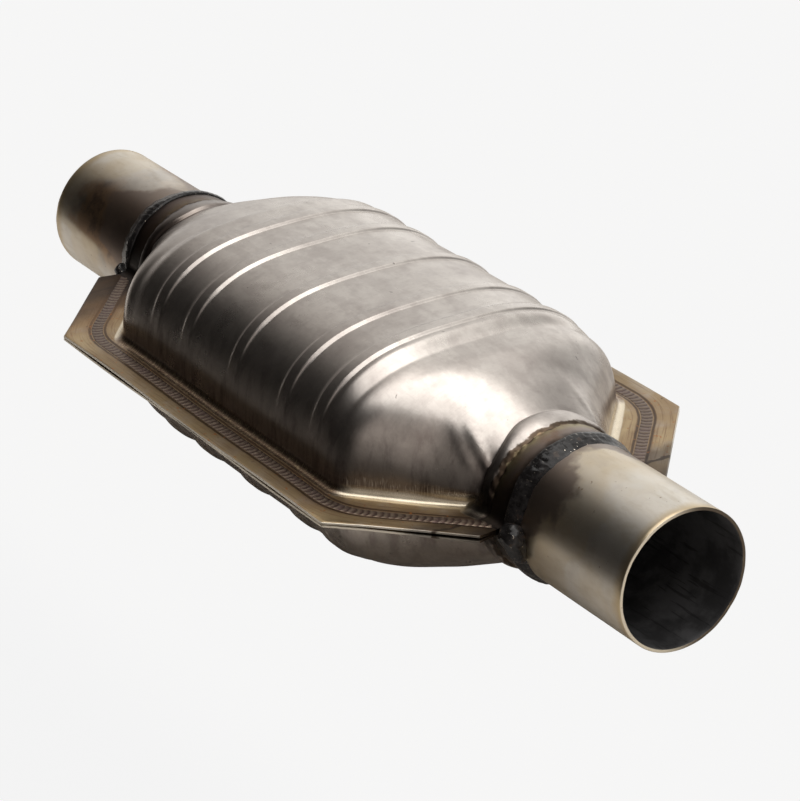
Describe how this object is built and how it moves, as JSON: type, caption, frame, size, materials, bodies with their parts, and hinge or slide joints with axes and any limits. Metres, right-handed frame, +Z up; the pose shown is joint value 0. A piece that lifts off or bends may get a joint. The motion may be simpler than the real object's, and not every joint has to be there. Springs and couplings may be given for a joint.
{
  "type": "catalytic converter",
  "caption": "Oval ribbed catalytic converter: two pressed steel halves seam-welded round a flat flange, with a round pipe stub welded in each end.",
  "frame": {"origin": "middle of the pipe axis, halfway between the two pipe mouths", "axes": "+X along the pipe axis toward the outlet, +Z up, square to the flange"},
  "size_m": [0.475, 0.187, 0.108],
  "materials": {
    "pressed_steel": "satin stainless sheet, warm grey, heat-tinted gold and brown beside the seam",
    "pipe_steel": "satin drawn stainless tube with gold and brown heat tint near the weld",
    "weld_metal": "glossy dark weld skin, lumpy",
    "honeycomb": "matt fine-celled ceramic",
    "mineral_mat": "pressed mineral fibre",
    "wire_mesh": "knitted steel wire"
  },
  "bodies": {
    "root": {"upper_shell": "pressed_steel", "lower_shell": "pressed_steel", "inlet_pipe": "pipe_steel", "outlet_pipe": "pipe_steel", "inlet_ring_weld": "weld_metal", "outlet_ring_weld": "weld_metal", "inlet_left_corner_weld": "weld_metal", "inlet_right_corner_weld": "weld_metal", "outlet_left_corner_weld": "weld_metal", "outlet_right_corner_weld": "weld_metal", "front_brick": "honeycomb", "rear_brick": "honeycomb", "front_mat": "mineral_mat", "rear_mat": "mineral_mat", "front_mat_inlet_seal": "wire_mesh", "front_mat_outlet_seal": "wire_mesh", "rear_mat_inlet_seal": "wire_mesh", "rear_mat_outlet_seal": "wire_mesh"}
  },
  "joints": []
}
